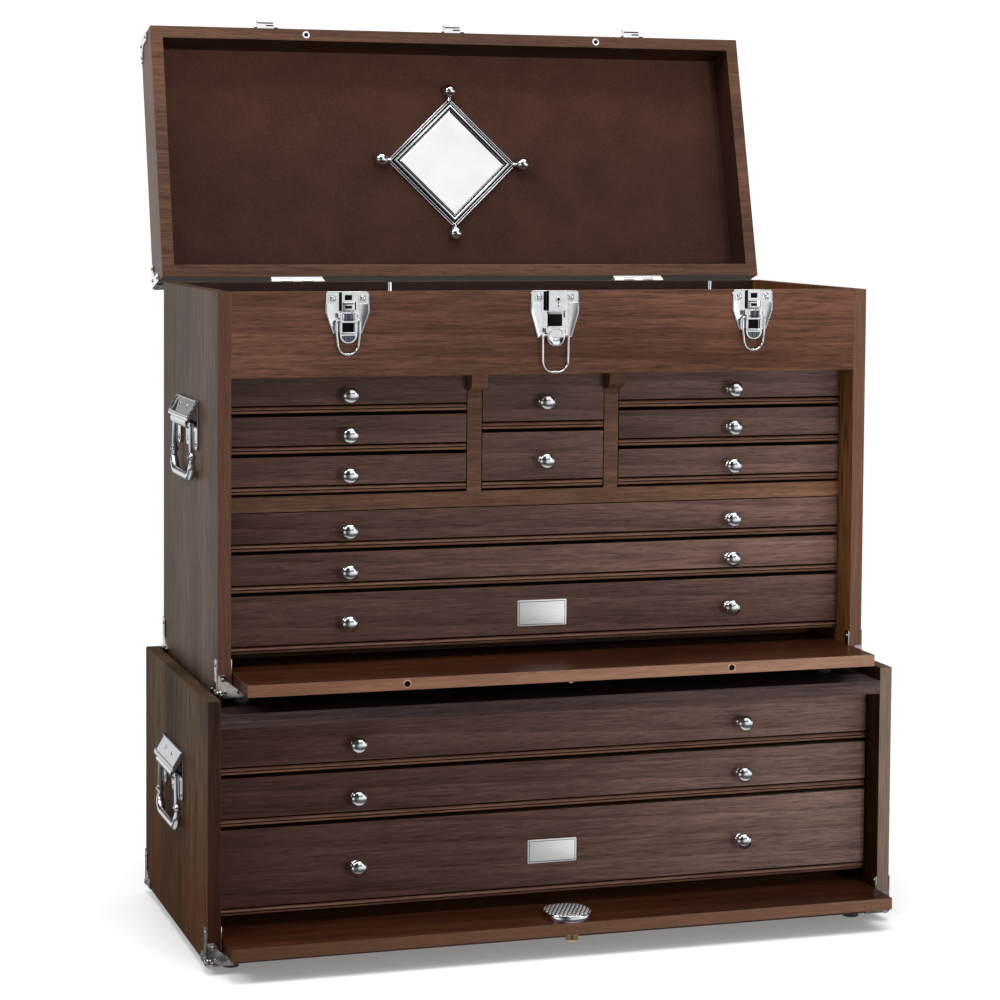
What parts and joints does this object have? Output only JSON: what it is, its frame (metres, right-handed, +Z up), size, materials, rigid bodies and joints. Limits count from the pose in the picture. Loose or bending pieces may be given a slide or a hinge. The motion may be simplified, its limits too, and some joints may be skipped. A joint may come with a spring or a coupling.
{
  "type": "tool chest with base",
  "caption": "Wooden machinist's chest with a hinged lid, till and small drawers, standing on a matching drawer base; sliding front panels stow under the drawers.",
  "frame": {"origin": "on the floor, under the middle of the whole object's outline with its lid open", "axes": "+X to the chest's right seen from its front, -Y to the front where the drawers open, +Z up"},
  "size_m": [0.718, 0.4756, 0.9069],
  "materials": {
    "base_side_oak": "satin stained oak, upright grain",
    "chest_side_oak": "satin stained oak, upright grain",
    "base_top_oak": "satin dark stained oak, level grain",
    "back_oak": "satin stained oak, upright grain",
    "bottom_ply": "plain dark stained ply",
    "till_front_oak": "satin dark stained oak, level grain",
    "inner_oak": "satin dark stained oak, level grain",
    "runner_wood": "plain dark stained ply",
    "foot_rubber": "plain black",
    "guard_chrome": "polished",
    "handle_mount_chrome": "polished",
    "latch_chrome": "polished",
    "hinge_metal": "polished",
    "lid_oak": "satin dark stained oak, level grain",
    "lid_felt": "brown felt",
    "mirror_frame_chrome": "polished",
    "mirror_silver": "silvered glass",
    "lid_fitting_chrome": "polished",
    "pin_chrome": "polished",
    "chest_panel_oak": "satin stained oak veneer",
    "base_panel_oak": "satin stained oak veneer",
    "panel_lock_chrome": "polished",
    "lever_chrome": "polished",
    "wire_chrome": "polished",
    "handle_chrome": "polished",
    "drawer_oak": "satin dark stained oak, level grain",
    "knob_chrome": "polished"
  },
  "bodies": {
    "base": {"base_sides": "base_side_oak", "base_top_board": "base_top_oak", "chest_sides": "chest_side_oak", "back_boards": "back_oak", "bottom_boards": "bottom_ply", "till_front": "till_front_oak", "inner_boards": "inner_oak", "drawer_runners": "runner_wood", "feet": "foot_rubber", "corner_guards": "guard_chrome", "handle_mounts": "handle_mount_chrome", "latch_plates": "latch_chrome", "hinge_leaves": "hinge_metal"},
    "lid": {"lid_frame": "lid_oak", "lid_lining": "lid_felt", "mirror_frame": "mirror_frame_chrome", "mirror_glass": "mirror_silver", "lid_fittings": "lid_fitting_chrome"},
    "lock_pins": {"lock_pins": "pin_chrome"},
    "chest_front_panel": {"chest_front_panel": "chest_panel_oak"},
    "base_front_panel": {"base_front_panel": "base_panel_oak", "base_panel_lock": "panel_lock_chrome"},
    "left_top_drawer": {"left_top_drawer": "drawer_oak", "left_top_drawer_knob": "knob_chrome"},
    "left_middle_drawer": {"left_middle_drawer": "drawer_oak", "left_middle_drawer_knob": "knob_chrome"},
    "left_bottom_drawer": {"left_bottom_drawer": "drawer_oak", "left_bottom_drawer_knob": "knob_chrome"},
    "right_top_drawer": {"right_top_drawer": "drawer_oak", "right_top_drawer_knob": "knob_chrome"},
    "right_middle_drawer": {"right_middle_drawer": "drawer_oak", "right_middle_drawer_knob": "knob_chrome"},
    "right_bottom_drawer": {"right_bottom_drawer": "drawer_oak", "right_bottom_drawer_knob": "knob_chrome"},
    "centre_top_drawer": {"centre_top_drawer": "drawer_oak", "centre_top_drawer_knob": "knob_chrome"},
    "centre_bottom_drawer": {"centre_bottom_drawer": "drawer_oak", "centre_bottom_drawer_knob": "knob_chrome"},
    "wide_upper_drawer": {"wide_upper_drawer": "drawer_oak", "wide_upper_drawer_knobs": "knob_chrome"},
    "wide_middle_drawer": {"wide_middle_drawer": "drawer_oak", "wide_middle_drawer_knobs": "knob_chrome"},
    "wide_lower_drawer": {"wide_lower_drawer": "drawer_oak", "wide_lower_drawer_knobs": "knob_chrome"},
    "base_upper_drawer": {"base_upper_drawer": "drawer_oak", "base_upper_drawer_knobs": "knob_chrome"},
    "base_middle_drawer": {"base_middle_drawer": "drawer_oak", "base_middle_drawer_knobs": "knob_chrome"},
    "base_lower_drawer": {"base_lower_drawer": "drawer_oak", "base_lower_drawer_knobs": "knob_chrome"},
    "left_latch_lever": {"left_latch_lever": "lever_chrome"},
    "left_latch_bail": {"left_latch_bail": "wire_chrome"},
    "centre_latch_lever": {"centre_latch_lever": "lever_chrome"},
    "centre_latch_bail": {"centre_latch_bail": "wire_chrome"},
    "right_latch_lever": {"right_latch_lever": "lever_chrome"},
    "right_latch_bail": {"right_latch_bail": "wire_chrome"},
    "chest_left_handle": {"chest_left_handle": "handle_chrome"},
    "chest_right_handle": {"chest_right_handle": "handle_chrome"},
    "base_left_handle": {"base_left_handle": "handle_chrome"},
    "base_right_handle": {"base_right_handle": "handle_chrome"}
  },
  "joints": [
    {"name": "lid_hinge", "type": "hinge", "parent": "base", "child": "lid", "pos_m": [0, 0.11306, 0.6331], "axis": [-1, 0, 0], "range_deg": [-105, 0]},
    {"name": "lock_pin_slide", "type": "slide", "parent": "base", "child": "lock_pins", "axis": [0, 0, 1], "range_m": [-0.00851, 0]},
    {"name": "chest_panel_slide", "type": "slide", "parent": "base", "child": "chest_front_panel", "axis": [0, -1, 0], "range_m": [-0.034, 0.195]},
    {"name": "base_panel_slide", "type": "slide", "parent": "base", "child": "base_front_panel", "axis": [0, -1, 0], "range_m": [-0.022, 0.13]},
    {"name": "left_top_drawer_slide", "type": "slide", "parent": "base", "child": "left_top_drawer", "axis": [0, -1, 0], "range_m": [0, 0.179]},
    {"name": "left_middle_drawer_slide", "type": "slide", "parent": "base", "child": "left_middle_drawer", "axis": [0, -1, 0], "range_m": [0, 0.179]},
    {"name": "left_bottom_drawer_slide", "type": "slide", "parent": "base", "child": "left_bottom_drawer", "axis": [0, -1, 0], "range_m": [0, 0.179]},
    {"name": "right_top_drawer_slide", "type": "slide", "parent": "base", "child": "right_top_drawer", "axis": [0, -1, 0], "range_m": [0, 0.179]},
    {"name": "right_middle_drawer_slide", "type": "slide", "parent": "base", "child": "right_middle_drawer", "axis": [0, -1, 0], "range_m": [0, 0.179]},
    {"name": "right_bottom_drawer_slide", "type": "slide", "parent": "base", "child": "right_bottom_drawer", "axis": [0, -1, 0], "range_m": [0, 0.179]},
    {"name": "centre_top_drawer_slide", "type": "slide", "parent": "base", "child": "centre_top_drawer", "axis": [0, -1, 0], "range_m": [0, 0.179]},
    {"name": "centre_bottom_drawer_slide", "type": "slide", "parent": "base", "child": "centre_bottom_drawer", "axis": [0, -1, 0], "range_m": [0, 0.179]},
    {"name": "wide_upper_drawer_slide", "type": "slide", "parent": "base", "child": "wide_upper_drawer", "axis": [0, -1, 0], "range_m": [0, 0.179]},
    {"name": "wide_middle_drawer_slide", "type": "slide", "parent": "base", "child": "wide_middle_drawer", "axis": [0, -1, 0], "range_m": [0, 0.179]},
    {"name": "wide_lower_drawer_slide", "type": "slide", "parent": "base", "child": "wide_lower_drawer", "axis": [0, -1, 0], "range_m": [0, 0.179]},
    {"name": "base_upper_drawer_slide", "type": "slide", "parent": "base", "child": "base_upper_drawer", "axis": [0, -1, 0], "range_m": [0, 0.216]},
    {"name": "base_middle_drawer_slide", "type": "slide", "parent": "base", "child": "base_middle_drawer", "axis": [0, -1, 0], "range_m": [0, 0.216]},
    {"name": "base_lower_drawer_slide", "type": "slide", "parent": "base", "child": "base_lower_drawer", "axis": [0, -1, 0], "range_m": [0, 0.216]},
    {"name": "left_lever_hinge", "type": "hinge", "parent": "base", "child": "left_latch_lever", "pos_m": [-0.2063, -0.16624, 0.6106], "axis": [-1, 0, 0], "range_deg": [0, 100]},
    {"name": "left_bail_hinge", "type": "hinge", "parent": "left_latch_lever", "child": "left_latch_bail", "pos_m": [-0.2063, -0.16624, 0.6061], "axis": [-1, 0, 0], "range_deg": [0, 75]},
    {"name": "centre_lever_hinge", "type": "hinge", "parent": "base", "child": "centre_latch_lever", "pos_m": [0, -0.16624, 0.5948], "axis": [-1, 0, 0], "range_deg": [0, 100]},
    {"name": "centre_bail_hinge", "type": "hinge", "parent": "centre_latch_lever", "child": "centre_latch_bail", "pos_m": [0, -0.16624, 0.5903], "axis": [-1, 0, 0], "range_deg": [0, 75]},
    {"name": "right_lever_hinge", "type": "hinge", "parent": "base", "child": "right_latch_lever", "pos_m": [0.2063, -0.16624, 0.6106], "axis": [-1, 0, 0], "range_deg": [0, 100]},
    {"name": "right_bail_hinge", "type": "hinge", "parent": "right_latch_lever", "child": "right_latch_bail", "pos_m": [0.2063, -0.16624, 0.6061], "axis": [-1, 0, 0], "range_deg": [0, 75]},
    {"name": "chest_left_handle_hinge", "type": "hinge", "parent": "base", "child": "chest_left_handle", "pos_m": [-0.3364, -0.02669, 0.5025], "axis": [0, 1, 0], "range_deg": [0, 80]},
    {"name": "chest_right_handle_hinge", "type": "hinge", "parent": "base", "child": "chest_right_handle", "pos_m": [0.3364, -0.02669, 0.5025], "axis": [0, -1, 0], "range_deg": [0, 80]},
    {"name": "base_left_handle_hinge", "type": "hinge", "parent": "base", "child": "base_left_handle", "pos_m": [-0.3534, -0.04099, 0.165], "axis": [0, 1, 0], "range_deg": [0, 80]},
    {"name": "base_right_handle_hinge", "type": "hinge", "parent": "base", "child": "base_right_handle", "pos_m": [0.3534, -0.04099, 0.165], "axis": [0, -1, 0], "range_deg": [0, 80]}
  ],
  "couplings": [
    {"joint": "lock_pin_slide", "follows": "lid_hinge", "m_per_rad": 0.004638}
  ]
}
